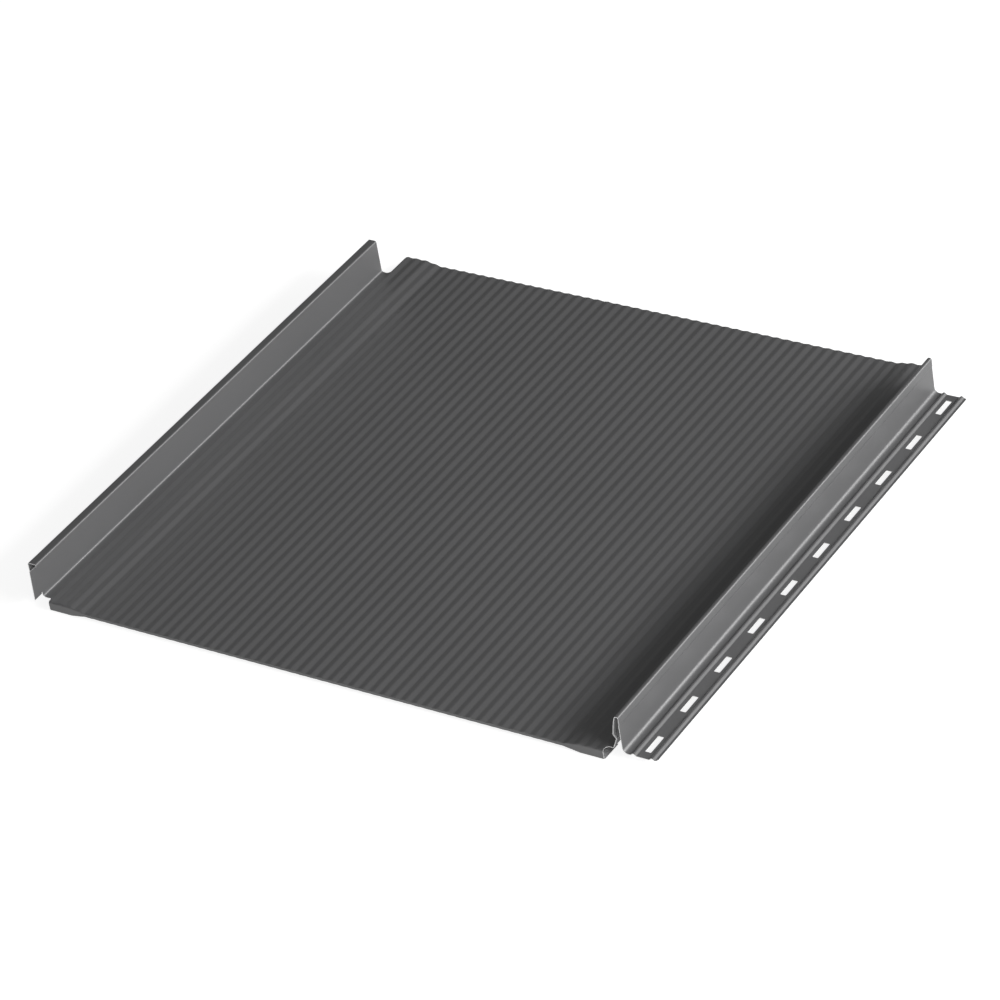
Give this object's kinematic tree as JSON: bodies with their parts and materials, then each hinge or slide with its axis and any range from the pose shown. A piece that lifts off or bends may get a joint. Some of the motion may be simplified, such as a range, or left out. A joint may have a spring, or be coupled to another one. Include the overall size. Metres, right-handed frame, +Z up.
{
  "type": "standing seam roof panel",
  "caption": "Flat ribbed steel roof sheet with a snap rib and slotted fixing flange along one side, a cap rib along the other, and a turned-under front edge.",
  "frame": {"origin": "bottom centre of the bounding box", "axes": "+X across the panel from the cap rib to the fixing flange, +Y up the roof along the seams, +Z up out of the roof"},
  "size_m": [0.5616, 0.5218, 0.0395],
  "materials": {
    "coated_sheet": "smooth dark grey coil coating, low sheen"
  },
  "bodies": {
    "root": {"roof_panel": "coated_sheet"}
  },
  "joints": []
}
